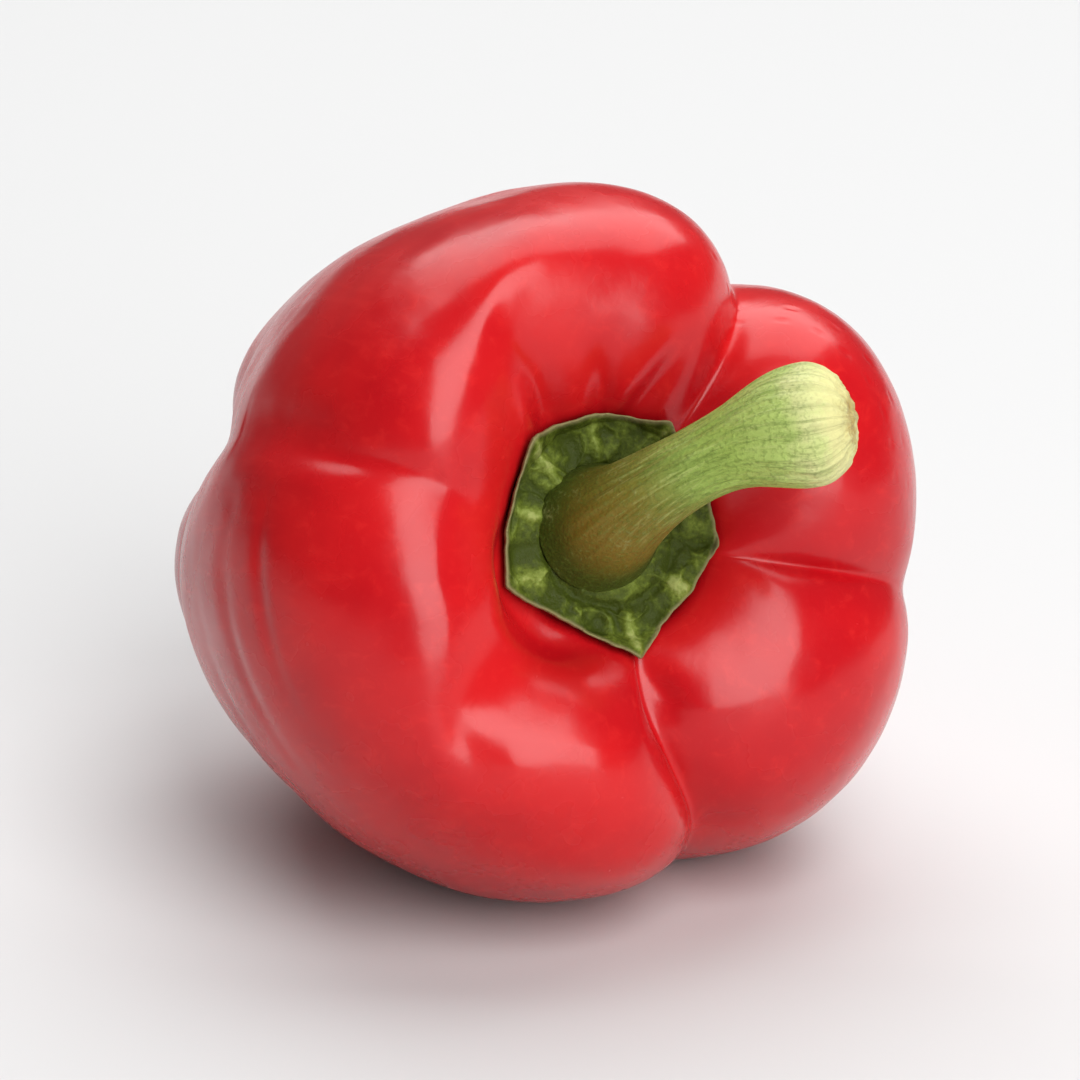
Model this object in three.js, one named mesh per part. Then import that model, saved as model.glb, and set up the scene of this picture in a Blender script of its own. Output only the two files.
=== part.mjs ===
// A bell pepper as picked, lying on its side: the lobed fruit, the green calyx in its sunken stem
// end, and the curved stem with its flared, cut end. Millimetres, +Z up, the origin on the surface
// it lies on, under the middle of its bounding box.
//
// The fruit's own frame has its axis along w, from the blossom end to the stem, with the origin
// about half way along. A point of its skin is at an angle round the axis, a distance r from the
// axis and a height w along it.
import * as THREE from "three";
import { mergeVertices } from "three/addons/utils/BufferGeometryUtils.js";

// How it lies: the stem end is turned to the right and raised, because the fruit tapers.
const TURN = 20;
const RISE = 20;
const REST_DEPTH = 36.4; // from the fruit's own origin down to the surface
const PRESSED = 1.2; // how gently the underside goes over to the flat spot that it rests on
const FLAT = 0.18; // the lowest slice of the underside, which is quite flat

// The two ends of the axis: under the calyx, and in the blossom pit.
const BOWL_HEIGHT = 31.6;
const PIT_HEIGHT = -37.5;
const BLOSSOM_SHIFT = 6.5; // the fruit curves, so its blossom end is this much off the axis
const CURVE_START = 12; // it starts to curve at this height
const CURVE_LENGTH = 56; // and it has curved that much this far below

// Each profile runs from the bowl under the calyx to the blossom pit, through five stations, each
// [distance from the axis, height]: the foot of the inner wall, the crest of the shoulder, the
// widest point, the toe, and the rim of the pit. Between them it follows quarters of ovals, and
// wallOval, shoulderOval and sideOval say how square the three big ones are (1 is a straight
// slope, 2 is an ellipse).
//
// A groove is at an angle, in degrees. inward and outward turn it on the inner wall and on the
// shoulder. soft is the radius of its bottom at the crest, at the widest point and at the toe,
// and lean is how far its bottom slips under the lobe before it.
const GROOVES = [
  {
    at: -71, inward: -2, outward: 6, lean: 2.5, soft: [0.8, 3.5, 0.8],
    foot: [11.4, 32.4], crest: [19, 36], widest: [41.2, 8], toe: [12, -38], rim: [4, -38],
    wallOval: 2.1, shoulderOval: 2.3, sideOval: 1.7,
  },
  {
    at: -8, inward: 0, outward: 0, lean: 0, soft: [0.25, 7, 1],
    foot: [12, 32.6], crest: [20, 36.5], widest: [42.8, 13], toe: [14, -40], rim: [4, -38],
    wallOval: 2.1, shoulderOval: 2.8, sideOval: 1.8,
  },
  {
    at: 57, inward: 0, outward: 0, lean: 0, soft: [1.2, 2.5, 1],
    foot: [12.6, 32.6], crest: [20, 36], widest: [37.2, 12], toe: [13, -39], rim: [4, -38],
    wallOval: 2.1, shoulderOval: 2.2, sideOval: 1.7,
  },
  {
    at: 108, inward: 14, outward: 0, lean: 0, soft: [7, 8, 2.5],
    foot: [12.8, 32.8], crest: [31, 42.6], widest: [41.2, 14], toe: [15, -41], rim: [5, -39],
    wallOval: 1.6, shoulderOval: 2.2, sideOval: 1.75,
  },
  {
    at: 163, inward: 4, outward: 0, lean: 0, soft: [2, 1.8, 1],
    foot: [12.4, 32.8], crest: [23.5, 42], widest: [41.2, 16], toe: [9, -37], rim: [4, -38],
    wallOval: 1.6, shoulderOval: 2.2, sideOval: 1.5,
  },
  {
    at: 226, inward: 0, outward: 0, lean: 0, soft: [9, 6, 2],
    foot: [11.2, 32.6], crest: [29, 42], widest: [43, 15], toe: [15, -40], rim: [5, -39],
    wallOval: 1.5, shoulderOval: 2.15, sideOval: 1.62,
  },
];

// A lobe fills the space from the groove of the same number to the next. full says how round it
// stands between its grooves, at the crest, at the widest point and at the toe (0 to below 1).
const LOBES = [
  {
    full: [0.95, 0.92, 0.93],
    foot: [11.8, 33], crest: [25, 40.5], widest: [46.6, 13], toe: [17, -43], rim: [7, -40],
    wallOval: 1.6, shoulderOval: 2.15, sideOval: 1.75,
  },
  {
    full: [0.95, 0.94, 0.93],
    foot: [12.8, 33], crest: [28, 41.5], widest: [44.4, 13], toe: [17, -43], rim: [7, -40],
    wallOval: 1.6, shoulderOval: 2.15, sideOval: 1.85,
  },
  {
    full: [0.5, 0.85, 0.93],
    foot: [13, 33], crest: [28, 42], widest: [42.4, 15], toe: [17, -43], rim: [7, -40],
    wallOval: 1.8, shoulderOval: 2.15, sideOval: 1.85,
  },
  {
    full: [0.9, 0.88, 0.93],
    foot: [13, 33], crest: [27, 43.6], widest: [41.2, 15], toe: [17, -43.5], rim: [7, -40],
    wallOval: 1.7, shoulderOval: 2.15, sideOval: 1.75,
  },
  {
    full: [0.8, 0.8, 0.9],
    foot: [12.2, 33], crest: [24.5, 43.4], widest: [43.6, 15], toe: [17, -43], rim: [7, -40],
    wallOval: 1.5, shoulderOval: 2.15, sideOval: 1.85,
  },
  {
    full: [0.9, 0.9, 0.93],
    foot: [10.6, 33], crest: [24.5, 43.6], widest: [43.4, 15], toe: [16, -41], rim: [7, -39],
    wallOval: 1.4, shoulderOval: 2.15, sideOval: 1.62,
  },
];

// Where the stations are along the profile, as shares of its length. The other shares say where
// a groove goes over from the inner wall to the shoulder, where it leaves the shoulder, where its
// lean starts and ends, and where its softness changes from one station's to the next.
const STATIONS = [0, 0.085, 0.185, 0.4, 0.83, 0.94, 1];
const BOWL_OVAL = 2;
const TOE_OVAL = 2.2;
const PIT_OVAL = 2;
const WALL_TO_SHOULDER = [0.15, 0.3];
const SHOULDER_TO_SIDE = [0.32, 0.46];
const LEAN_STARTS = [0.1, 0.2];
const LEAN_ENDS = [0.4, 0.55];
const LEAN_POWER = 1.5; // how much of the lean is at the very bottom of the groove
const CREST_TO_WIDEST = [0.26, 0.46];
const WIDEST_TO_TOE = [0.55, 0.85];
const LEAST_RADIUS = 4; // near the axis a lobe counts as being this far from it

// How fine the mesh is.
const ROUND_STEPS = 84;
const PROFILE_STEPS = 44;
const CROWDING = 0.3; // how much closer together the lines round the fruit are at the grooves
const MERGE_DISTANCE = 1e-4;

// The calyx: a collar that lies in the bowl and up the foot of the wall, with its tips at these
// [distance, angle] from the axis.
const CALYX_TIPS = [
  [14.6, -157], [14.2, -79], [11.6, -31], [13.1, -4], [13.6, 28],
  [14.9, 65], [14.8, 101], [16.4, 135], [13.8, 165],
];
const CALYX_STEPS = 6; // mesh steps from one tip to the next
const CALYX_UNDERSIDE = 33.5;
const CALYX_GAP = 0.4; // to the skin, where that is higher
const CALYX_THICKNESS = 1.5;
const CALYX_CURL_START = 0.75; // as a share of its reach
const CALYX_CURL = 0.5; // how far its edge turns up beyond that

// The stem: a curve, and how thick it is along it.
const STEM_FOOT = new THREE.Vector3(-1.4, 1.2, 35.5);
const STEM_BEND_1 = new THREE.Vector3(-1, 3.5, 44);
const STEM_BEND_2 = new THREE.Vector3(5.4, 10.5, 49.2);
const STEM_END = new THREE.Vector3(16.1, 12.7, 55.4);
const STEM_TIP = 5.2; // how far the rounded scar where it was picked stands out beyond that
const STEM_WAIST = 4.3; // its radius where it is thinnest
const STEM_SWELL = 3.2; // how much more it is at the foot
const STEM_FLARE = 2.7; // and at the cut end
const STEM_WAIST_AT = 0.6; // where along the stem it is thinnest
const STEM_LEVEL = 0.25; // its sections go from level at the foot to square across it by here
const STEM_STEPS = 22;
const STEM_SIDES = 22;
const STEM_TIP_RINGS = 3;

const SKIN = new THREE.MeshStandardMaterial({ color: 0xd0151c, roughness: 0.22, metalness: 0 });
const LEAF_GREEN = new THREE.MeshStandardMaterial({ color: 0x4d7a2c, roughness: 0.6, metalness: 0 });
const STEM_GREEN = new THREE.MeshStandardMaterial({ color: 0x9fbf5a, roughness: 0.55, metalness: 0 });

const mix = (a, b, t) => a + (b - a) * t;
const rise = (s, [from, to]) => THREE.MathUtils.smoothstep(s, from, to);
const fall = (s, stretch) => 1 - rise(s, stretch);
const radians = THREE.MathUtils.degToRad;

// The fruit's frame in the part's frame: w comes from the upright to face -Y, is turned to the
// right about Z and then raised about X.
const LAID = new THREE.Matrix4()
  .makeRotationX(radians(-RISE))
  .multiply(new THREE.Matrix4().makeRotationZ(radians(TURN)))
  .multiply(new THREE.Matrix4().makeRotationX(radians(90)));
const UP = new THREE.Vector3(0, 0, 1).transformDirection(LAID.clone().transpose());

// A quarter of an oval from point a to point b. It sets out level or, if not level, upright.
function quarterOval(a, b, power, t, level) {
  const across = Math.sin((t * Math.PI) / 2) ** (2 / power);
  const back = Math.cos((t * Math.PI) / 2) ** (2 / power);
  return level
    ? [mix(a[0], b[0], across), mix(b[1], a[1], back)]
    : [mix(b[0], a[0], back), mix(a[1], b[1], across)];
}

// The point [r, w] at share s of a lobe's or a groove's profile.
function profilePoint(form, s) {
  const points = [
    [0, BOWL_HEIGHT], form.foot, form.crest, form.widest, form.toe, form.rim, [0, PIT_HEIGHT],
  ];
  const ovals = [
    BOWL_OVAL, form.wallOval, form.shoulderOval, form.sideOval, TOE_OVAL, PIT_OVAL,
  ];
  const stretch = Math.min(STATIONS.findLastIndex((at) => at <= s), ovals.length - 1);
  const t = (s - STATIONS[stretch]) / (STATIONS[stretch + 1] - STATIONS[stretch]);
  return quarterOval(points[stretch], points[stretch + 1], ovals[stretch], t, stretch % 2 === 0);
}

// A value given at the crest, the widest point and the toe, at share s of the profile.
function along([crest, widest, toe], s) {
  const nearCrest = fall(s, CREST_TO_WIDEST);
  const nearToe = rise(s, WIDEST_TO_TOE);
  return crest * nearCrest + widest * (1 - nearCrest - nearToe) + toe * nearToe;
}

// The angle of a groove at share s of the profile: it needn't run straight.
function grooveAngle(groove, s) {
  const onWall = fall(s, WALL_TO_SHOULDER);
  const onShoulder = rise(s, WALL_TO_SHOULDER) * fall(s, SHOULDER_TO_SIDE);
  return groove.at + groove.inward * onWall + groove.outward * onShoulder;
}

// A point of the skin: at share x of the way across a lobe, and share s along its profile.
function skinPoint(number, x, s) {
  const lobe = LOBES[number];
  const before = GROOVES[number];
  const after = GROOVES[(number + 1) % GROOVES.length];
  const start = grooveAngle(before, s);
  const end = grooveAngle(after, s) + (number + 1 === GROOVES.length ? 360 : 0);
  const groove = x > 0.5 ? after : before;
  const [lobeR, lobeW] = profilePoint(lobe, s);
  const [grooveR, grooveW] = profilePoint(groove, s);

  // sunk is 1 in the groove and 0 on the lobe's ridge, with a round bottom and a round ridge.
  const breadth = Math.max(lobeR, LEAST_RADIUS) * radians(end - start);
  const soft = along(groove.soft, s);
  const rounded = (distance) => Math.hypot(distance, soft) - soft;
  const near = 1 - rounded(Math.min(x, 1 - x) * breadth) / rounded(breadth / 2);
  const full = along(lobe.full, s);
  const sunk = (1 - Math.sqrt(1 - (full * near) ** 2)) / (1 - Math.sqrt(1 - full ** 2));
  const r = mix(lobeR, grooveR, sunk);
  const w = mix(lobeW, grooveW, sunk);

  const slip = groove.lean * rise(s, LEAN_STARTS) * fall(s, LEAN_ENDS) * sunk ** LEAN_POWER;
  const angle = radians(mix(start, end, x)) - slip / Math.max(r, 2 * LEAST_RADIUS);
  const curve = Math.max(0, (CURVE_START - w) / CURVE_LENGTH) ** 2;
  return new THREE.Vector3(r * Math.cos(angle), r * Math.sin(angle) + BLOSSOM_SHIFT * curve, w);
}

// Presses what would hang below the surface up to a flat spot, gently at its edge.
function pressUnderside(point) {
  const height = point.dot(UP) + REST_DEPTH;
  const start = PRESSED - FLAT;
  if (height >= start) return point;
  const gentle = PRESSED * Math.exp((height - start) / PRESSED) - FLAT;
  return point.addScaledVector(UP, Math.max(0, gentle) - height);
}

// A closed mesh from rings of points: the first and the last ring are single points.
function closedSurface(rings) {
  const positions = [];
  const faces = [];
  const corner = (ring, step) => rings[ring][step % rings[ring].length];
  const face = (...points) => {
    for (const point of points) positions.push(point.x, point.y, point.z);
  };
  for (let ring = 0; ring + 1 < rings.length; ring++) {
    const sides = Math.max(rings[ring].length, rings[ring + 1].length);
    for (let step = 0; step < sides; step++) {
      const a = corner(ring, step);
      const b = corner(ring, step + 1);
      const c = corner(ring + 1, step + 1);
      const d = corner(ring + 1, step);
      if (a !== b) face(a, c, b);
      if (c !== d) face(a, d, c);
    }
  }
  const geometry = new THREE.BufferGeometry();
  geometry.setAttribute("position", new THREE.Float32BufferAttribute(positions, 3));
  const merged = mergeVertices(geometry, MERGE_DISTANCE);
  merged.computeVertexNormals();
  return merged;
}

function namedMesh(name, geometry, material) {
  const mesh = new THREE.Mesh(geometry, material);
  mesh.name = name;
  return mesh;
}

function makeFruit() {
  const places = [];
  LOBES.forEach((_, number) => {
    const start = GROOVES[number].at;
    const end = number + 1 < GROOVES.length ? GROOVES[number + 1].at : GROOVES[0].at + 360;
    const steps = Math.round((ROUND_STEPS * (end - start)) / 360);
    for (let step = 0; step < steps; step++) {
      const x = step / steps;
      places.push([number, x - (CROWDING * Math.sin(2 * Math.PI * x)) / (2 * Math.PI)]);
    }
  });
  const rings = [];
  for (let ring = 0; ring <= PROFILE_STEPS; ring++) {
    const s = ring / PROFILE_STEPS;
    const atPole = ring === 0 || ring === PROFILE_STEPS;
    const around = atPole ? places.slice(0, 1) : places;
    rings.push(around.map(([number, x]) => pressUnderside(skinPoint(number, x, s))));
  }
  return namedMesh("fruit", closedSurface(rings), SKIN);
}

// How high the skin is above the point (x, y) across the axis.
function skinHeight(fruit, x, y) {
  const above = new THREE.Vector3(x, y, 2 * CALYX_UNDERSIDE);
  const down = new THREE.Vector3(0, 0, -1);
  return new THREE.Raycaster(above, down).intersectObject(fruit)[0].point.z;
}

function makeCalyx(fruit) {
  const corners = CALYX_TIPS.map(([reach, angle]) =>
    new THREE.Vector2(reach, 0).rotateAround(new THREE.Vector2(), radians(angle)),
  );
  const outline = [];
  corners.forEach((from, tip) => {
    const to = corners[(tip + 1) % corners.length];
    for (let step = 0; step < CALYX_STEPS; step++) {
      outline.push(from.clone().lerp(to, step / CALYX_STEPS));
    }
  });
  // Shares of the way out and through the thickness, over the top, round the edge and back under.
  const section = [
    [0, 1], [0.3, 1], [0.55, 1], [0.75, 1], [0.9, 1], [0.97, 0.9],
    [1, 0.5], [0.97, 0.1], [0.9, 0], [0.75, 0], [0.4, 0], [0, 0],
  ];
  const rings = section.map(([out, through]) => {
    const curl = CALYX_CURL * rise(out, [CALYX_CURL_START, 1]);
    const around = out === 0 ? outline.slice(0, 1) : outline;
    return around.map((point) => {
      const x = point.x * out;
      const y = point.y * out;
      const under = Math.max(CALYX_UNDERSIDE, skinHeight(fruit, x, y) + CALYX_GAP);
      return new THREE.Vector3(x, y, under + curl + CALYX_THICKNESS * through);
    });
  });
  return namedMesh("calyx", closedSurface(rings), LEAF_GREEN);
}

function stemRadius(t) {
  const towardsFoot = Math.max(0, 1 - t / STEM_WAIST_AT);
  const towardsEnd = Math.max(0, (t - STEM_WAIST_AT) / (1 - STEM_WAIST_AT));
  return STEM_WAIST + STEM_SWELL * towardsFoot ** 2 + STEM_FLARE * towardsEnd ** 2;
}

function makeStem() {
  const path = new THREE.CubicBezierCurve3(STEM_FOOT, STEM_BEND_1, STEM_BEND_2, STEM_END);
  const upright = new THREE.Vector3(0, 0, 1);
  const side = new THREE.Vector3(1, 0, 0);

  // A ring of points round the path at t, moved on along it by ahead.
  const ringAt = (t, radius, ahead) => {
    const heading = upright.clone().lerp(path.getTangent(t), rise(t, [0, STEM_LEVEL])).normalize();
    const right = side.clone().addScaledVector(heading, -side.dot(heading)).normalize();
    const back = heading.clone().cross(right);
    const centre = path.getPoint(t).addScaledVector(heading, ahead);
    return Array.from({ length: STEM_SIDES }, (_, turn) => {
      const angle = (2 * Math.PI * turn) / STEM_SIDES;
      return centre
        .clone()
        .addScaledVector(right, radius * Math.cos(angle))
        .addScaledVector(back, radius * Math.sin(angle));
    });
  };

  const rings = [[STEM_FOOT]];
  for (let step = 0; step <= STEM_STEPS; step++) {
    const t = step / STEM_STEPS;
    rings.push(ringAt(t, stemRadius(t), 0));
  }
  for (let step = 1; step <= STEM_TIP_RINGS; step++) {
    const turn = (Math.PI / 2) * (step / (STEM_TIP_RINGS + 1));
    rings.push(ringAt(1, stemRadius(1) * Math.cos(turn), STEM_TIP * Math.sin(turn)));
  }
  rings.push([STEM_END.clone().addScaledVector(path.getTangent(1), STEM_TIP)]);
  return namedMesh("stem", closedSurface(rings.reverse()), STEM_GREEN);
}

const fruit = makeFruit();
const lying = new THREE.Group();
lying.add(fruit, makeCalyx(fruit), makeStem());
lying.applyMatrix4(LAID);

// The origin goes under the middle of the whole pepper, on the surface.
const box = new THREE.Box3().setFromObject(lying, true);
const middle = box.getCenter(new THREE.Vector3());
lying.position.set(-middle.x, -middle.y, REST_DEPTH);

const pepper = new THREE.Group();
pepper.add(lying);
export default pepper;
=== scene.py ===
"""The looks of a bell pepper that lies on its side: its glossy lobed fruit, crinkled calyx and
ribbed stem, as fine meshes in the places of the CAD solids, in a plain pale studio.

The fruit's own frame has its axis along w, from the blossom end to the stem. A point of the skin
is at an angle round the axis, a distance r from the axis and a height w along it, in millimetres.
"""
import math
from collections import namedtuple

import bpy
import numpy as np
from mathutils import Matrix, Vector, noise
from mathutils.bvhtree import BVHTree


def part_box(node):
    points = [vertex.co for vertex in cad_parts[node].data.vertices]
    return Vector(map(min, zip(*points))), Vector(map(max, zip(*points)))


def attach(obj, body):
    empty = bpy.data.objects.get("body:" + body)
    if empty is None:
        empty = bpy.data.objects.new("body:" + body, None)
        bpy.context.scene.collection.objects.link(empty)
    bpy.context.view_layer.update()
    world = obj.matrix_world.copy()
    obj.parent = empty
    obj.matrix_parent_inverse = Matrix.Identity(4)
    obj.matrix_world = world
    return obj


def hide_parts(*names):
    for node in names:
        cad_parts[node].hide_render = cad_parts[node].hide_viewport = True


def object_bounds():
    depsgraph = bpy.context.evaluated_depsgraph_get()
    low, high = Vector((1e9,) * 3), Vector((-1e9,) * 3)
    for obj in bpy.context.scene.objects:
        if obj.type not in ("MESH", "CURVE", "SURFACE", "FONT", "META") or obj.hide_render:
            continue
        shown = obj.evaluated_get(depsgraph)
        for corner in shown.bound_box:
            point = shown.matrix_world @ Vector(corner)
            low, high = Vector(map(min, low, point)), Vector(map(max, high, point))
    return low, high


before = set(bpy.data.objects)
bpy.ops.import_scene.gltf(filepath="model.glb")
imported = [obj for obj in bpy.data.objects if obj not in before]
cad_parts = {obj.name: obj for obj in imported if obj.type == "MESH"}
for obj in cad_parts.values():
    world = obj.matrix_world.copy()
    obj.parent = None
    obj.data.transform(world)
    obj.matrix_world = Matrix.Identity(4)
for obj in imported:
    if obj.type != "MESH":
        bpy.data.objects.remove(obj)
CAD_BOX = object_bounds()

MM = 0.001

# ---------------------------------------------------------------- the fruit's shape, as in CAD

TURN = 20  # degrees that the stem end is turned to the right
RISE = 20  # and raised
REST_DEPTH = 36.4  # from the fruit's own origin down to the surface it lies on
PRESSED = 1.2  # how gently the underside goes over to the flat spot that it rests on
FLAT = 0.18  # the lowest slice of the underside, which is quite flat
BOWL_HEIGHT = 31.6  # the end of the axis under the calyx
PIT_HEIGHT = -37.5  # and in the blossom pit
BLOSSOM_SHIFT = 6.5  # the fruit curves, so its blossom end is this much off the axis
CURVE_START = 12  # it starts to curve at this height
CURVE_LENGTH = 56  # and it has curved that much this far below

# Each profile runs from the bowl under the calyx to the blossom pit through five stations, each
# (distance from the axis, height), along quarters of ovals. The ovals of the shoulder, the side
# and the inner wall say how square they are: 1 is a straight slope, 2 is an ellipse.
PROFILE_PARTS = "foot crest widest toe rim shoulder_oval side_oval wall_oval"
Form = namedtuple("Form", PROFILE_PARTS, defaults=[2.1])

# A groove is at an angle, in degrees. inward and outward turn it on the inner wall and on the
# shoulder, lean is how far its bottom slips under the lobe before it, and soft is the radius of
# its bottom at the crest, at the widest point and at the toe.
Groove = namedtuple("Groove", "at inward outward lean soft form")

# A lobe lies between the groove of the same number and the next. full says how round it stands
# between them, at the same three places.
Lobe = namedtuple("Lobe", "full form")

GROOVES = [
    Groove(-71, -2, 6, 2.5, (0.8, 3.5, 0.8),
           Form((11.4, 32.4), (19, 36), (41.2, 8), (12, -38), (4, -38), 2.3, 1.7)),
    Groove(-8, 0, 0, 0, (0.25, 7, 1),
           Form((12, 32.6), (20, 36.5), (42.8, 13), (14, -40), (4, -38), 2.8, 1.8)),
    Groove(57, 0, 0, 0, (1.2, 2.5, 1),
           Form((12.6, 32.6), (20, 36), (37.2, 12), (13, -39), (4, -38), 2.2, 1.7)),
    Groove(108, 14, 0, 0, (7, 8, 2.5),
           Form((12.8, 32.8), (31, 42.6), (41.2, 14), (15, -41), (5, -39), 2.2, 1.75, 1.6)),
    Groove(163, 4, 0, 0, (2, 1.8, 1),
           Form((12.4, 32.8), (23.5, 42), (41.2, 16), (9, -37), (4, -38), 2.2, 1.5, 1.6)),
    Groove(226, 0, 0, 0, (9, 6, 2),
           Form((11.2, 32.6), (29, 42), (43, 15), (15, -40), (5, -39), 2.15, 1.62, 1.5)),
]
LOBES = [
    Lobe((0.95, 0.92, 0.93),
         Form((11.8, 33), (25, 40.5), (46.6, 13), (17, -43), (7, -40), 2.15, 1.75, 1.6)),
    Lobe((0.95, 0.94, 0.93),
         Form((12.8, 33), (28, 41.5), (44.4, 13), (17, -43), (7, -40), 2.15, 1.85, 1.6)),
    Lobe((0.5, 0.85, 0.93),
         Form((13, 33), (28, 42), (42.4, 15), (17, -43), (7, -40), 2.15, 1.85, 1.8)),
    Lobe((0.9, 0.88, 0.93),
         Form((13, 33), (27, 43.6), (41.2, 15), (17, -43.5), (7, -40), 2.15, 1.75, 1.7)),
    Lobe((0.8, 0.8, 0.9),
         Form((12.2, 33), (24.5, 43.4), (43.6, 15), (17, -43), (7, -40), 2.15, 1.85, 1.5)),
    Lobe((0.9, 0.9, 0.93),
         Form((10.6, 33), (24.5, 43.6), (43.4, 15), (16, -41), (7, -39), 2.15, 1.62, 1.4)),
]
# Where the stations are along the profile, as shares of its length. The other shares say where
# a groove goes over from the inner wall to the shoulder, where it leaves the shoulder, where its
# lean starts and ends, and where its softness changes from one station's to the next.
STATIONS = (0, 0.085, 0.185, 0.4, 0.83, 0.94, 1)
BOWL_OVAL, TOE_OVAL, PIT_OVAL = 2, 2.2, 2
WALL_TO_SHOULDER = (0.15, 0.3)
SHOULDER_TO_SIDE = (0.32, 0.46)
LEAN_STARTS = (0.1, 0.2)
LEAN_ENDS = (0.4, 0.55)
LEAN_POWER = 1.5  # how much of the lean is at the very bottom of the groove
CREST_TO_WIDEST = (0.26, 0.46)
WIDEST_TO_TOE = (0.55, 0.85)
LEAST_RADIUS = 4  # near the axis a lobe counts as being this far from it

PROFILE_LENGTH = 150  # roughly, from the bowl over the shoulder to the blossom pit
ROUND_STEPS = 480
PROFILE_STEPS = 320
CROWDING = 0.3  # how much closer together the lines round the fruit are at the grooves


def smooth(t):
    """Goes from 0 to 1 as t does, with a gentle start and end."""
    t = np.clip(t, 0, 1)
    return t * t * (3 - 2 * t)


def rise(value, stretch):
    """Goes smoothly from 0 to 1 over a stretch (from, to)."""
    return smooth((value - stretch[0]) / (stretch[1] - stretch[0]))


def fall(value, stretch):
    return 1 - rise(value, stretch)


def quarter_oval(a, b, power, t, level):
    """A quarter of an oval from point a to point b, setting out level or upright."""
    across = np.sin(t * math.pi / 2) ** (2 / power)
    back = np.abs(np.cos(t * math.pi / 2)) ** (2 / power)
    if level:
        return a[0] + (b[0] - a[0]) * across, b[1] + (a[1] - b[1]) * back
    return b[0] + (a[0] - b[0]) * back, a[1] + (b[1] - a[1]) * across


def profile(form, s):
    """Distance from the axis and height at the shares s of a lobe's or a groove's profile."""
    points = [(0, BOWL_HEIGHT), *form[:5], (0, PIT_HEIGHT)]
    ovals = (BOWL_OVAL, form.wall_oval, form.shoulder_oval, form.side_oval, TOE_OVAL, PIT_OVAL)
    r, w = np.zeros_like(s), np.zeros_like(s)
    for i, power in enumerate(ovals):
        here = (s >= STATIONS[i]) & (s <= STATIONS[i + 1])
        t = (s[here] - STATIONS[i]) / (STATIONS[i + 1] - STATIONS[i])
        r[here], w[here] = quarter_oval(points[i], points[i + 1], power, t, i % 2 == 0)
    return r, w


def along(values, s):
    """A value given at the crest, the widest point and the toe, at the shares s."""
    near_crest = fall(s, CREST_TO_WIDEST)
    near_toe = rise(s, WIDEST_TO_TOE)
    crest, widest, toe = values
    return crest * near_crest + widest * (1 - near_crest - near_toe) + toe * near_toe


def groove_angle(groove, s):
    """The angle of a groove at the shares s of the profile: it needn't run straight."""
    on_wall = fall(s, WALL_TO_SHOULDER)
    on_shoulder = rise(s, WALL_TO_SHOULDER) * fall(s, SHOULDER_TO_SIDE)
    return groove.at + groove.inward * on_wall + groove.outward * on_shoulder


def lobe_surface(number, x, s):
    """Angle, r and w of a lobe's skin: rows are the shares x across it, columns s."""
    lobe, before = LOBES[number], GROOVES[number]
    after = GROOVES[(number + 1) % len(GROOVES)]
    start = groove_angle(before, s)
    end = groove_angle(after, s) + (360 if number + 1 == len(GROOVES) else 0)
    lobe_r, lobe_w = profile(lobe.form, s)
    x = x[:, None]
    breadth = np.maximum(lobe_r, LEAST_RADIUS) * np.radians(end - start)
    full = along(lobe.full, s)
    later = x > 0.5

    def from_grooves(get):
        return np.where(later, get(after), get(before))

    soft = from_grooves(lambda g: along(g.soft, s))
    edge = np.minimum(x, 1 - x) * breadth
    near = 1 - (np.hypot(edge, soft) - soft) / (np.hypot(breadth / 2, soft) - soft)
    sunk = (1 - np.sqrt(1 - (full * near) ** 2)) / (1 - np.sqrt(1 - full**2))
    groove_r = from_grooves(lambda g: profile(g.form, s)[0])
    groove_w = from_grooves(lambda g: profile(g.form, s)[1])
    r = lobe_r + (groove_r - lobe_r) * sunk
    w = lobe_w + (groove_w - lobe_w) * sunk
    lean = from_grooves(lambda g: g.lean + 0 * s)
    slip = lean * rise(s, LEAN_STARTS) * fall(s, LEAN_ENDS) * sunk**LEAN_POWER
    angle = np.radians(start + (end - start) * x) - slip / np.maximum(r, 2 * LEAST_RADIUS)
    return angle, r, w


def in_fruit_frame(angle, r, w):
    """Points [..., 3] in the fruit's own frame, with the fruit's slight curve."""
    curve = np.maximum(0, (CURVE_START - w) / CURVE_LENGTH) ** 2
    return np.stack([r * np.cos(angle), r * np.sin(angle) + BLOSSOM_SHIFT * curve, w], -1)


LAID = np.array(
    Matrix.Rotation(math.radians(-RISE), 3, "X")
    @ Matrix.Rotation(math.radians(TURN), 3, "Z")
    @ Matrix.Rotation(math.radians(90), 3, "X")
)


def laid(points):
    """Points of the fruit's frame in the part's directions, still in millimetres."""
    return points @ LAID.T


def press_underside(points):
    """Presses what would hang below the surface up to a flat spot, gently at its edge."""
    height = points[..., 2] + REST_DEPTH
    start = PRESSED - FLAT
    gentle = PRESSED * np.exp(np.minimum(height - start, 0) / PRESSED) - FLAT
    points[..., 2] += np.where(height < start, np.maximum(gentle, 0) - height, 0)
    return points


def normals_of(grid):
    """Outward normals of a grid whose rows run round and whose columns run along."""
    around = np.roll(grid, -1, 0) - np.roll(grid, 1, 0)
    down = np.gradient(grid, axis=1)
    normal = np.cross(down, around)
    return normal / np.maximum(np.linalg.norm(normal, axis=-1, keepdims=True), 1e-9)


def noise_field(points, size, octaves=2, seed=0.0):
    """Smooth noise from -1 to 1 at points in millimetres, with bumps about size apart."""
    flat = points.reshape(-1, 3) / size + seed
    values = [noise.fractal(Vector(p), 0.6, 2.1, octaves) for p in flat]
    return np.array(values).reshape(points.shape[:-1])


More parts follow.
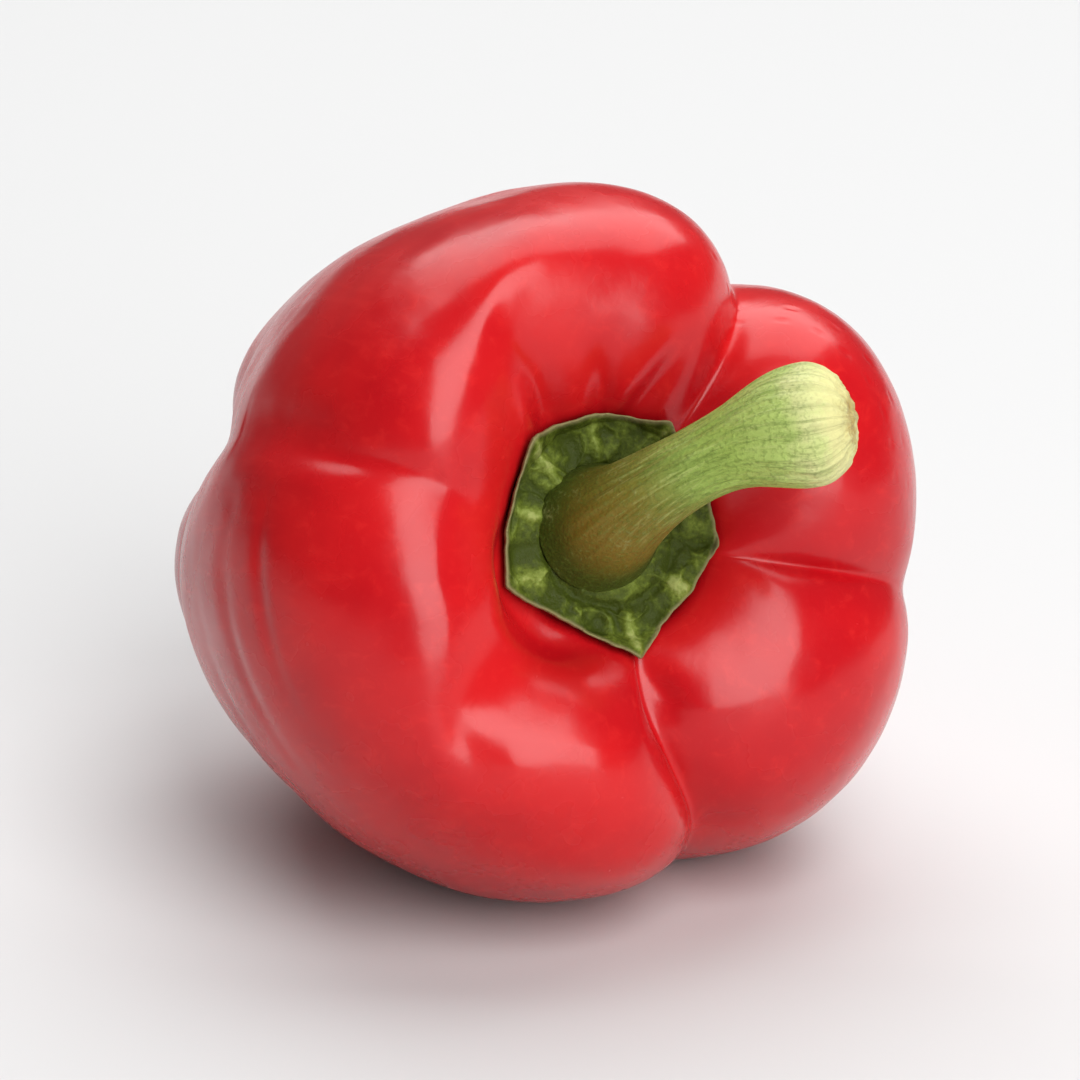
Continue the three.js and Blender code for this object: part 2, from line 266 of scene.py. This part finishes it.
def make_mesh(name, rings, first_pole, last_pole):
    """A smooth closed mesh from rings [ring][step][xyz] in metres, with a point at each end."""
    count, steps = rings.shape[:2]
    points = [*map(tuple, rings.reshape(-1, 3)), tuple(first_pole), tuple(last_pole)]
    first, last = count * steps, count * steps + 1
    faces = []
    for step in range(steps):
        beyond = (step + 1) % steps
        faces.append((first, step, beyond))
        base = (count - 1) * steps
        faces.append((last, base + beyond, base + step))
    for ring in range(count - 1):
        for step in range(steps):
            beyond = (step + 1) % steps
            a, b = ring * steps + step, ring * steps + beyond
            faces.append((a, a + steps, b + steps, b))
    mesh = bpy.data.meshes.new(name)
    mesh.from_pydata(points, [], faces)
    mesh.polygons.foreach_set("use_smooth", [True] * len(mesh.polygons))
    mesh.update()
    piece = bpy.data.objects.new(name, mesh)
    bpy.context.scene.collection.objects.link(piece)
    return piece


def set_attribute(piece, name, rings, *poles):
    """Keeps a vector for each point of a mesh made by make_mesh, for its material to read."""
    values = np.concatenate([np.asarray(rings, float).reshape(-1, 3), np.array(poles, float)])
    layer = piece.data.attributes.new(name, "FLOAT_VECTOR", "POINT")
    layer.data.foreach_set("vector", values.ravel())


# ---------------------------------------------------------------- fruit


def fruit_grid():
    """The skin as a grid in the part's directions: rows round the axis, columns along it."""
    s = np.linspace(0, 1, PROFILE_STEPS + 1)
    parts = []
    for number, groove in enumerate(GROOVES):
        end = GROOVES[number + 1].at if number + 1 < len(GROOVES) else GROOVES[0].at + 360
        steps = round(ROUND_STEPS * (end - groove.at) / 360)
        x = np.arange(steps) / steps
        x = x - CROWDING * np.sin(2 * math.pi * x) / (2 * math.pi)
        parts.append(np.stack(lobe_surface(number, x, s)))
    return np.concatenate(parts, axis=1), s


# Small folds in the skin: degrees round the axis, share of the profile, half width across and
# half length along it in millimetres, depth (negative for a ridge), and degrees of slant.
Fold = namedtuple("Fold", "angle share across along depth slant")
FOLDS = [
    Fold(121, 0.125, 2.2, 4.5, 1.3, 0),
    Fold(98, 0.12, 1.5, 3.6, 0.9, 0),
    Fold(78, 0.13, 1.8, 5.5, 1.2, -6),
    Fold(140, 0.14, 2.5, 4, 0.5, 0),
    Fold(165, 0.27, 1.3, 7, 0.5, 0),
    Fold(161, 0.34, 3.5, 9, 0.9, 0),
    Fold(170, 0.3, 1.5, 6, -0.25, 0),
    Fold(187, 0.52, 15, 5, 1.7, 0),
    Fold(148, 0.52, 9, 5, 1.3, 0),
    Fold(190, 0.33, 9, 0.9, 0.3, 0),
    Fold(200, 0.37, 12, 1.1, 0.3, 0),
    Fold(212, 0.42, 10, 1.4, 0.25, 0),
    Fold(228, 0.2, 4, 5, 0.7, 8),
    Fold(190, 0.11, 4, 2.4, 1.3, 0),
    Fold(212, 0.113, 5, 2.6, 1.6, 0),
    Fold(236, 0.115, 5, 2.6, 1.5, 0),
    Fold(243, 0.34, 5, 12, 0.35, 0),
    Fold(286, 0.17, 2.2, 4, 0.9, 0),
    Fold(45, 0.26, 0.5, 2.2, 0.25, 30),
    Fold(38, 0.28, 0.5, 1.8, 0.2, 30),
    Fold(20, 0.22, 5, 7, 0.3, 0),
]
SWELLS = ((0.4, 24), (0.07, 7))  # how high and how broad the skin's soft swellings are
EVEN_NEAR_AXIS = (3, 11)  # folds and swellings set in over this stretch out from the axis


def fold_depths(angle, r, s, profile_length):
    """How far the folds sink the skin at each point."""
    depth = np.zeros_like(angle)
    for fold in FOLDS:
        along = (s - fold.share) * profile_length
        middle = fold.angle + fold.slant * along / fold.along
        turn = (np.degrees(angle) - middle + 180) % 360 - 180
        across = np.radians(turn) * r
        depth += fold.depth * np.exp(-((across / fold.across) ** 2) - (along / fold.along) ** 2)
    return depth


def make_fruit():
    """The skin in the part's directions, and the same points in the fruit's own frame."""
    (angle, r, w), s = fruit_grid()
    grid = in_fruit_frame(angle, r, w)
    normal = normals_of(grid)
    raised = -fold_depths(angle, r, s, PROFILE_LENGTH)
    for number, (height, breadth) in enumerate(SWELLS):
        raised += height * noise_field(grid, breadth, 2, 3.0 + 5 * number)
    raised *= rise(r, EVEN_NEAR_AXIS)
    place = grid + normal * raised[..., None]
    return press_underside(laid(place)), place


def shift_to_frame(grid):
    """What moves the fine mesh's footprint onto the CAD fruit's, with its base on the floor."""
    low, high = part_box("fruit")
    points = grid.reshape(-1, 3)
    centre = (points.min(0) + points.max(0)) / 2 * MM
    return np.array([(low.x + high.x) / 2 - centre[0], (low.y + high.y) / 2 - centre[1],
                     REST_DEPTH * MM])


skin_grid, skin_place = make_fruit()
SHIFT = shift_to_frame(skin_grid)


def placed(points):
    """Points in the part's directions and millimetres, at their place in metres."""
    return points * MM + SHIFT


skin = placed(skin_grid)
fruit = make_mesh("pepper_skin", skin[:, 1:-1].transpose(1, 0, 2), skin[0, 0], skin[0, -1])
place_rows = skin_place[:, 1:-1].transpose(1, 0, 2)
set_attribute(fruit, "place", place_rows, skin_place[0, 0], skin_place[0, -1])

# ---------------------------------------------------------------- calyx

CALYX_TIPS = [
    (14.6, -157), (14.2, -79), (11.6, -31), (13.1, -4), (13.6, 28), (14.9, 65), (14.8, 101),
    (16.4, 135), (13.8, 165),
]
CALYX_STEPS = 44  # mesh steps from one tip to the next
CALYX_RINGS = 84
CALYX_INNER = 0.3  # the innermost ring, as a share of the reach
CALYX_UNDERSIDE = 33.5
CALYX_THICKNESS = 1.15
CALYX_GAP = 0.35  # to the skin, where that is higher
CALYX_CURL = 0.5  # how far its edge turns up
CALYX_CURL_STRETCH = (0.8, 1)  # as shares of its reach
LEAST_RELIEF = -0.75  # no hollow is deeper, so that the leaf stays whole
BULB_RADIUS = 7.4  # of the stem's foot
# Ridges that run out to the tips: degrees, height and half width in millimetres.
CALYX_RIDGES = [
    (135, 0.75, 0.75), (-79, 0.7, 0.7), (-34, 0.8, 0.9), (-157, 0.45, 0.8), (165, 0.4, 0.6),
    (101, 0.45, 0.7), (65, 0.4, 0.7), (-118, 0.3, 0.6), (-4, -0.7, 0.9), (116, -0.45, 1.3),
    (150, -0.5, 1.1), (-100, -0.35, 1.2), (-60, -0.45, 1.1), (-140, -0.3, 1.1), (-172, -0.3, 1),
]
BLISTER = (-2.4, -10.4, 2.3)  # a round puckered fold in the leaf: its middle and radius
EDGE_WAVE = (0.018, 2.6)  # how far the edge strays, as a share of its reach, and how broadly
CRINKLES = (0.32, 3.4)  # how high and how broad the leaf's crinkles are
VEINS = (0.28, 4.2)  # how high its net of veins is, and how wide its meshes are
VEIN_SHARPNESS = 7
FOOT_CREASE = (0.6, 0.6, 0.7)  # depth, distance from the bulb and half width of the crease round it


def calyx_outline():
    """Points [u, v] round the collar, with corners at its tips that are slightly rounded."""
    corners = np.array(
        [(reach * math.cos(math.radians(a)), reach * math.sin(math.radians(a)))
         for reach, a in CALYX_TIPS]
    )
    points = []
    for tip, start in enumerate(corners):
        end = corners[(tip + 1) % len(corners)]
        for step in range(CALYX_STEPS):
            points.append(start + (end - start) * step / CALYX_STEPS)
    points = np.array(points)
    for _ in range(3):
        points = (np.roll(points, 1, 0) + 2 * points + np.roll(points, -1, 0)) / 4
    strays, breadth = EDGE_WAVE
    wave = noise_field(np.column_stack([points, 0 * points[:, 0]]), breadth, 2, 21.0)
    return points * (1 + strays * wave[:, None])


def skin_triangles():
    """The skin round the calyx, in the fruit's own frame."""
    grid = skin_place[:, : PROFILE_STEPS // 3]
    rows, columns = grid.shape[:2]
    quads = []
    for row in range(rows):
        beyond = (row + 1) % rows
        for column in range(columns - 1):
            a, b = row * columns + column, beyond * columns + column
            quads.append((a, a + 1, b + 1, b))
    return [Vector(p) for p in grid.reshape(-1, 3)], quads


def skin_heights(points, fallback):
    """How high the skin is under points [..., uvw] of the fruit's frame, seen along its axis."""
    tree = BVHTree.FromPolygons(*skin_triangles())
    down = Vector((0, 0, -1))
    heights = []
    for u, v in points[..., :2].reshape(-1, 2):
        hit = tree.ray_cast(Vector((u, v, CALYX_UNDERSIDE + 12)), down)[0]
        heights.append(hit.z if hit else fallback)
    return np.array(heights).reshape(points.shape[:-1])


def calyx_relief(points, out):
    """Ridges, hollows and crinkles of the leaf, and how strongly a point is ridge or hollow."""
    u, v = points[..., 0], points[..., 1]
    radius, angle = np.hypot(u, v), np.degrees(np.arctan2(v, u))
    relief = np.zeros_like(u)
    rising = rise(radius, (BULB_RADIUS - 1, BULB_RADIUS + 2))
    for at, height, width in CALYX_RIDGES:
        turn = (angle - at + 180) % 360 - 180
        across = np.radians(turn) * radius
        relief += height * np.exp(-((across / width) ** 2)) * rising
    flat = points * (1, 1, 0)
    crinkle = noise_field(flat, CRINKLES[1], 2, 5.0)
    vein = noise_field(flat, VEINS[1], 1, 31.0)
    vein = np.maximum(0, 1 - VEIN_SHARPNESS * np.abs(vein)) ** 2
    relief += CRINKLES[0] * crinkle + VEINS[0] * vein - 0.08
    u0, v0, size = BLISTER
    off = np.hypot(u - u0, v - v0)
    relief += 0.45 * np.exp(-(((off - size) / 0.45) ** 2)) - 0.5 * np.exp(-((off / 1.5) ** 2))
    depth, distance, width = FOOT_CREASE
    relief -= depth * np.exp(-(((radius - BULB_RADIUS - distance) / width) ** 2))
    return relief * rise(radius, (5, 7.5)) * (1 - 0.75 * rise(out, (0.88, 1)))


def make_calyx():
    """The collar from its middle out over the top, round its edge and back under."""
    outline = calyx_outline()
    section = [(out, 1.0) for out in np.linspace(CALYX_INNER, 0.985, CALYX_RINGS)]
    section += [(0.997, 0.9), (1, 0.65), (1, 0.35), (0.99, 0.1)]
    section += [(out, 0.0) for out in np.linspace(0.96, CALYX_INNER, 14)]
    out = np.array([o for o, _ in section])[:, None] + 0 * outline[:, 0]
    through = np.array([t for _, t in section])[:, None]
    rings = np.zeros((*out.shape, 3))
    rings[..., :2] = outline * out[..., None]
    base = np.maximum(CALYX_UNDERSIDE, skin_heights(rings, 33) + CALYX_GAP)
    relief = calyx_relief(rings, out)
    curl = CALYX_CURL * rise(out, CALYX_CURL_STRETCH)
    thickness = CALYX_THICKNESS + np.maximum(relief, LEAST_RELIEF)
    rings[..., 2] = base + curl + through * thickness
    poles = rings[0].mean(0), rings[-1].mean(0)
    leaf = np.stack([out, relief, through + 0 * out], -1)
    rings, poles = placed(laid(rings)), [placed(laid(p)) for p in poles]
    piece = make_mesh("calyx_leaf", rings, *poles)
    set_attribute(piece, "leaf", leaf, (0, 0, 1), (0, 0, 0))
    return piece


calyx = make_calyx()

# ---------------------------------------------------------------- stem

STEM_FOOT = (-1.4, 1.2, 34.4)
STEM_BEND_1 = (-1, 3.5, 44)
STEM_BEND_2 = (5.4, 10.5, 49.2)
STEM_END = (16.1, 12.7, 55.4)
STEM_TIP = 5.2  # how far the rounded scar where it was picked stands out beyond that
STEM_WAIST = 4.3  # its radius where it is thinnest
STEM_SWELL = 3.2  # how much more it is at the foot
STEM_FLARE = 2.7  # and at the cut end
STEM_FLARE_POWER = 1.3
STEM_WAIST_AT = 0.6  # where along the stem it is thinnest
STEM_LEVEL = 0.25  # its sections go from level at the foot to square across it by here
STEM_STEPS = 200
STEM_SIDES = 200
STEM_TIP_RINGS = 28
# Ribs: how many, where they start and how much they twist in radians, and their share of the
# radius. Furrows: their depth at the foot, how much more it is beyond, and their breadth.
STEM_RIBS = ((5, 1.5, 1, 0.016), (9, 0, 2, 0.008))
STEM_FURROWS = (0.05, 0.12, 0.34)
STEM_SMOOTH_FOOT = (0, 0.3)
STEM_LOWER_SIDE = (0.1, -0.75, 0.45)  # the way that its lower side faces, where painted shade makes the foot browner
SCAR_ROUGHNESS = (0.35, 1.3)  # how high and how broad the bumps of the torn end are


def stem_path(t):
    """A point on the stem's middle line, and the line's direction there."""
    p = [np.array(q, float) for q in (STEM_FOOT, STEM_BEND_1, STEM_BEND_2, STEM_END)]
    u = 1 - t
    point = u**3 * p[0] + 3 * u * u * t * p[1] + 3 * u * t * t * p[2] + t**3 * p[3]
    heading = u * u * (p[1] - p[0]) + 2 * u * t * (p[2] - p[1]) + t * t * (p[3] - p[2])
    return point, heading / np.linalg.norm(heading)


def stem_frame(t):
    """The middle of the stem at t, and the directions along, right of and behind it."""
    centre, heading = stem_path(t)
    lean = rise(t, (0, STEM_LEVEL))
    heading = np.array([0, 0, 1]) * (1 - lean) + heading * lean
    heading /= np.linalg.norm(heading)
    right = np.array([1, 0, 0]) - heading[0] * heading
    right /= np.linalg.norm(right)
    return centre, heading, right, np.cross(heading, right)


def stem_radius(t, turns):
    """The stem's radius at t, at the angles turns round it."""
    foot = max(0, 1 - t / STEM_WAIST_AT)
    end = max(0, (t - STEM_WAIST_AT) / (1 - STEM_WAIST_AT))
    radius = STEM_WAIST + STEM_SWELL * foot**2 + STEM_FLARE * smooth(end) ** STEM_FLARE_POWER
    ribs = sum(
        height * np.cos(count * turns + start + twist * t)
        for count, start, twist, height in STEM_RIBS
    )
    spots = np.stack([2.4 * np.cos(turns), 2.4 * np.sin(turns), 0 * turns + 1.3 * t], -1)
    at_foot, beyond, breadth = STEM_FURROWS
    furrows = noise_field(spots, breadth, 2, 11.0)
    grown = rise(t, STEM_SMOOTH_FOOT)
    return radius * (1 + ribs * grown) + (at_foot + beyond * grown) * furrows


def make_stem():
    """The stem from its foot to the domed scar at its cut end."""
    turns = 2 * math.pi * np.arange(STEM_SIDES) / STEM_SIDES
    rings, stalk, around = [], [], []

    def add_ring(t, radius, lift, cap):
        centre, heading, right, back = stem_frame(t)
        spoke = np.cos(turns)[:, None] * right + np.sin(turns)[:, None] * back
        rings.append(centre + spoke * radius[:, None] + heading * lift[:, None])
        below = spoke @ np.array(STEM_LOWER_SIDE)
        stalk.append(np.stack([t + 0 * turns, below, cap + 0 * turns], -1))
        around.append(np.stack([np.cos(turns), np.sin(turns), t * 6 + 0 * turns], -1))

    for t in np.linspace(0, 1, STEM_STEPS):
        add_ring(t, stem_radius(t, turns), 0 * turns, 0)
    rim = stem_radius(1, turns)
    spots = np.stack([np.cos(turns), np.sin(turns), 0 * turns], -1)
    for step in range(1, STEM_TIP_RINGS):
        turn = math.pi / 2 * step / STEM_TIP_RINGS
        share, lift = math.cos(turn), STEM_TIP * math.sin(turn)
        height, breadth = SCAR_ROUGHNESS
        torn = height * noise_field(spots * rim[:, None] * share, breadth, 2, 17.0)
        add_ring(1, rim * share, lift + torn * smooth(turn), step / STEM_TIP_RINGS)
    rings, stalk, around = (np.array(rows)[::-1] for rows in (rings, stalk, around))
    poles = rings[0].mean(0), rings[-1].mean(0)
    rings, poles = placed(laid(rings)), [placed(laid(p)) for p in poles]
    piece = make_mesh("stem_stalk", rings, *poles)
    set_attribute(piece, "stalk", stalk, (1, 0, 1), (0, 0, 0))
    set_attribute(piece, "stalk_round", around, (0, 0, 6), (0, 0, 0))
    return piece


stem = make_stem()

# ---------------------------------------------------------------- materials


class Nodes:
    """A material's node tree, with short ways to add the nodes that the finishes use."""

    def __init__(self, name):
        self.material = bpy.data.materials.new(name)
        self.material.use_nodes = True
        self.tree = self.material.node_tree
        self.shader = self.tree.nodes["Principled BSDF"]

    def set(self, **values):
        for name, value in values.items():
            self.shader.inputs[name.replace("_", " ")].default_value = value

    def join(self, source, target):
        self.tree.links.new(source, target)
        return source

    def give(self, name, source):
        self.join(source, self.shader.inputs[name])

    def attribute(self, name):
        node = self.tree.nodes.new("ShaderNodeAttribute")
        node.attribute_name = name
        return node.outputs["Vector"]

    def distance(self, vector, point):
        node = self.tree.nodes.new("ShaderNodeVectorMath")
        node.operation = "DISTANCE"
        self.join(vector, node.inputs[0])
        node.inputs[1].default_value = point
        return node.outputs["Value"]

    def parts(self, vector):
        node = self.tree.nodes.new("ShaderNodeSeparateXYZ")
        self.join(vector, node.inputs[0])
        return node.outputs[0], node.outputs[1], node.outputs[2]

    def noise(self, vector, scale, detail=3, stretch=(1, 1, 1), rough=0.55, twist=0):
        moved = self.tree.nodes.new("ShaderNodeMapping")
        moved.inputs["Scale"].default_value = stretch
        self.join(vector, moved.inputs["Vector"])
        node = self.tree.nodes.new("ShaderNodeTexNoise")
        node.inputs["Scale"].default_value = scale
        node.inputs["Detail"].default_value = detail
        node.inputs["Roughness"].default_value = rough
        node.inputs["Distortion"].default_value = twist
        self.join(moved.outputs[0], node.inputs["Vector"])
        return node.outputs["Fac"]

    def math(self, kind, a, b):
        node = self.tree.nodes.new("ShaderNodeMath")
        node.operation = kind
        for value, socket in ((a, node.inputs[0]), (b, node.inputs[1])):
            if isinstance(value, bpy.types.NodeSocket):
                self.join(value, socket)
            else:
                socket.default_value = value
        return node.outputs[0]

    def fit(self, value, low, high, to_low=0.0, to_high=1.0):
        node = self.tree.nodes.new("ShaderNodeMapRange")
        node.interpolation_type = "SMOOTHSTEP"
        for name, number in zip(("From Min", "From Max", "To Min", "To Max"),
                                (low, high, to_low, to_high)):
            node.inputs[name].default_value = number
        self.join(value, node.inputs["Value"])
        return node.outputs["Result"]

    def ramp(self, value, stops):
        node = self.tree.nodes.new("ShaderNodeValToRGB")
        ramp = node.color_ramp
        while len(ramp.elements) < len(stops):
            ramp.elements.new(1)
        for element, (place, colour) in zip(ramp.elements, stops):
            element.position, element.color = place, (*colour, 1)
        self.join(value, node.inputs[0])
        return node.outputs["Color"]

    def mix(self, share, a, b):
        node = self.tree.nodes.new("ShaderNodeMix")
        node.data_type = "RGBA"
        self.join(share, node.inputs["Factor"])
        for value, socket in ((a, node.inputs[6]), (b, node.inputs[7])):
            if isinstance(value, bpy.types.NodeSocket):
                self.join(value, socket)
            else:
                socket.default_value = (*value, 1)
        return node.outputs[2]

    def bump(self, height, distance, strength=1.0, below=None):
        node = self.tree.nodes.new("ShaderNodeBump")
        node.inputs["Distance"].default_value = distance
        node.inputs["Strength"].default_value = strength
        self.join(height, node.inputs["Height"])
        if below is not None:
            self.join(below, node.inputs["Normal"])
        return node.outputs["Normal"]


def skin_material():
    """Taut, waxy red skin with faint fibres along it and fine pores."""
    n = Nodes("pepper_skin")
    place = n.attribute("place")
    broad = n.noise(place, 0.045, 3)
    fibres = n.noise(place, 0.5, 4, (1, 1, 0.12), 0.6, 0.6)
    pores = n.noise(place, 1.6, 2)
    red = n.mix(n.fit(broad, 0.35, 0.65), (0.44, 0.004, 0.008), (0.54, 0.008, 0.010))
    red = n.mix(n.fit(fibres, 0.5, 0.75, 0, 0.35), red, (0.64, 0.02, 0.018))
    red = n.mix(n.fit(pores, 0.6, 0.75, 0, 0.08), red, (0.6, 0.04, 0.035))
    # The brown scar in the blossom pit, where the flower was.
    ragged = n.math("MULTIPLY", n.math("SUBTRACT", pores, 0.5), 1.6)
    from_scar = n.math("ADD", n.distance(place, tuple(skin_place[0, -1])), ragged)
    red = n.mix(n.fit(from_scar, 2.6, 1.2), red, (0.16, 0.075, 0.02))
    n.give("Base Color", red)
    n.give("Roughness", n.fit(n.noise(place, 0.12, 3), 0.3, 0.7, 0.22, 0.3))
    n.set(Specular_IOR_Level=0.3, Coat_Weight=0.1, Coat_Roughness=0.14)
    peel = n.bump(pores, 0.00001)
    n.give("Normal", n.bump(fibres, 0.00005, 0.5, peel))
    return n.material


def calyx_material():
    """A half matte leaf, darker in its hollows as painted shade and paler on its ridges as painted
    highlight, with a dry tan rim.
    """
    n = Nodes("calyx_leaf")
    out, relief, top = n.parts(n.attribute("leaf"))
    texture = n.tree.nodes.new("ShaderNodeTexCoord").outputs["Object"]
    blotch = n.noise(texture, 420, 4, (1, 1, 1), 0.6)
    grain = n.noise(texture, 1500, 3)
    # Painted shade and painted highlight: the relief makes the green darker in the hollows and
    # paler on the ridges, on top of random blotches and grain.
    height = n.fit(relief, -0.6, 1.1)
    tone_and_relief_shade = n.math("ADD", height, n.math("MULTIPLY", n.math("SUBTRACT", blotch, 0.5), 1.5))
    tone_and_relief_shade = n.math("ADD", tone_and_relief_shade, n.math("MULTIPLY", n.math("SUBTRACT", grain, 0.5), 0.9))
    green = n.ramp(tone_and_relief_shade, (
        (0.08, (0.038, 0.052, 0.004)), (0.34, (0.07, 0.093, 0.009)),
        (0.56, (0.115, 0.15, 0.018)), (0.8, (0.19, 0.235, 0.045)), (1, (0.28, 0.32, 0.09)),
    ))
    rim = n.fit(out, 0.95, 0.995)
    n.give("Base Color", n.mix(n.math("MULTIPLY", rim, 0.75), green, (0.27, 0.23, 0.11)))
    n.give("Roughness", n.fit(blotch, 0.3, 0.7, 0.5, 0.68))
    n.set(Specular_IOR_Level=0.14)
    n.give("Normal", n.bump(n.math("ADD", blotch, grain), 0.0003, 0.8))
    return n.material


def stem_material():
    """Green that pales towards the cut end, browner at the foot and more so on its lower side as
    painted shade, with fine streaks and a scar.
    """
    n = Nodes("stem_stalk")
    t, below, cap = n.parts(n.attribute("stalk"))
    texture = n.tree.nodes.new("ShaderNodeTexCoord").outputs["Object"]
    patch = n.noise(texture, 260, 3)
    grain = n.noise(texture, 1300, 3)
    wander = n.math("ADD", t, n.math("MULTIPLY", n.math("SUBTRACT", patch, 0.5), 0.16))
    green = n.ramp(wander, (
        (0.05, (0.048, 0.062, 0.006)), (0.2, (0.085, 0.1, 0.011)), (0.38, (0.14, 0.18, 0.026)),
        (0.55, (0.21, 0.29, 0.055)), (0.75, (0.29, 0.4, 0.08)), (0.93, (0.38, 0.49, 0.13)),
        (1, (0.55, 0.57, 0.24)),
    ))
    # The brown at the foot is the stalk's own colour; its being stronger on the lower side is
    # painted shade.
    foot_brown_and_shade = n.math("MULTIPLY", n.fit(t, 0.06, 0.2), n.fit(t, 0.62, 0.3))
    foot_brown_and_shade = n.math("MULTIPLY", foot_brown_and_shade, n.fit(below, -0.5, 0.5, 0.25, 0.85))
    green = n.mix(foot_brown_and_shade, green, (0.17, 0.112, 0.012))
    round_it = n.attribute("stalk_round")
    grown = n.fit(t, 0.12, 0.45)
    streak = n.fit(n.noise(round_it, 9, 4, (1, 1, 0.14), 0.65), 0.46, 0.7)
    streak = n.math("MULTIPLY", streak, grown)
    green = n.mix(n.math("MULTIPLY", streak, 0.5), green, (0.1, 0.16, 0.02))
    pale = n.fit(n.noise(round_it, 11, 3, (1, 1, 0.12), 0.6), 0.5, 0.72)
    pale = n.math("MULTIPLY", pale, n.math("MULTIPLY", grown, 0.35))
    green = n.mix(pale, green, (0.47, 0.53, 0.18))
    speckle = n.noise(texture, 2100, 2)
    green = n.mix(n.fit(speckle, 0.45, 0.7, 0, 0.4), green, (0.08, 0.13, 0.015))
    cut = n.ramp(n.math("ADD", patch, n.math("MULTIPLY", grain, 0.25)), (
        (0.42, (0.2, 0.09, 0.03)), (0.56, (0.4, 0.28, 0.09)), (0.75, (0.6, 0.55, 0.24)),
    ))
    edge = n.math("ADD", cap, n.math("MULTIPLY", n.math("SUBTRACT", patch, 0.5), 0.5))
    edge = n.math("ADD", edge, n.math("MULTIPLY", n.math("SUBTRACT", speckle, 0.5), 0.4))
    green = n.mix(n.fit(edge, 0.05, 0.45, 0, 0.75), green, (0.64, 0.59, 0.27))
    n.give("Base Color", n.mix(n.fit(edge, 0.5, 0.8), green, cut))
    n.give("Roughness", n.fit(grain, 0.3, 0.7, 0.42, 0.6))
    n.set(Specular_IOR_Level=0.25)
    n.give("Normal", n.bump(n.math("ADD", streak, speckle), 0.0002, 0.6))
    return n.material


for piece, material, node, slot in (
    (fruit, skin_material(), "fruit", "skin"),
    (calyx, calyx_material(), "calyx", "calyx_green"),
    (stem, stem_material(), "stem", "stem_green"),
):
    piece.data.materials.append(material)
    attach(piece, "root")
    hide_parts(node)

# ---------------------------------------------------------------- studio and camera

ELEVATION = 20  # of the camera, in degrees
DISTANCE = 0.62  # from the camera to the pepper, in metres
FRAME_WIDTH = 0.1314  # what the picture spans at the pepper
AIM = (0.0036, 0, -0.0002)  # from the fruit's own origin to what the camera points at
SENSOR_WIDTH = 36
FLOOR_REACH = 6


def add_light(name, azimuth, elevation, distance, width, height, power):
    """A soft box aimed at the pepper. Azimuth 0 is the camera's side, positive to its right."""
    light = bpy.data.lights.new(name, "AREA")
    light.shape = "RECTANGLE"
    light.size, light.size_y = width, height
    light.energy = power
    lamp = bpy.data.objects.new(name, light)
    a, e = math.radians(azimuth), math.radians(elevation)
    out = Vector((math.sin(a) * math.cos(e), -math.cos(a) * math.cos(e), math.sin(e)))
    lamp.location = TARGET + out * distance
    lamp.rotation_euler = out.to_track_quat("Z", "Y").to_euler()
    lamp.visible_camera = False
    bpy.context.scene.collection.objects.link(lamp)


low, high = CAD_BOX
TARGET = (low + high) / 2

floor_mesh = bpy.data.meshes.new("floor")
corners = [(FLOOR_REACH * x, FLOOR_REACH * y, 0) for x, y in ((-1, -1), (1, -1), (1, 1), (-1, 1))]
floor_mesh.from_pydata(corners, [], [(0, 1, 2, 3)])
floor = bpy.data.objects.new("floor", floor_mesh)
bpy.context.scene.collection.objects.link(floor)
floor_finish = Nodes("floor")
floor_finish.set(Base_Color=(0.63, 0.63, 0.63, 1), Roughness=0.7, Specular_IOR_Level=0.2)
floor.data.materials.append(floor_finish.material)

add_light("key", 27, 33, 1.4, 0.9, 1.75, 28)
add_light("top", 172, 60, 1.4, 1.9, 1.6, 28)

world = bpy.data.worlds.new("studio")
world.use_nodes = True
world.node_tree.nodes["Background"].inputs["Color"].default_value = (1, 1, 1, 1)
world.node_tree.nodes["Background"].inputs["Strength"].default_value = 0.1
bpy.context.scene.world = world

camera_data = bpy.data.cameras.new("camera")
camera = bpy.data.objects.new("camera", camera_data)
bpy.context.scene.collection.objects.link(camera)
elevation = math.radians(ELEVATION)
towards = Vector((0, -math.cos(elevation), math.sin(elevation)))
camera.location = Vector(SHIFT) + Vector(AIM) + towards * DISTANCE
camera.rotation_euler = towards.to_track_quat("Z", "Y").to_euler()
camera_data.sensor_width = SENSOR_WIDTH
camera_data.lens = SENSOR_WIDTH * DISTANCE / FRAME_WIDTH
camera_data.clip_start = 0.01
camera_data.clip_end = 50
bpy.context.scene.camera = camera
bpy.context.scene.view_settings.view_transform = "Standard"
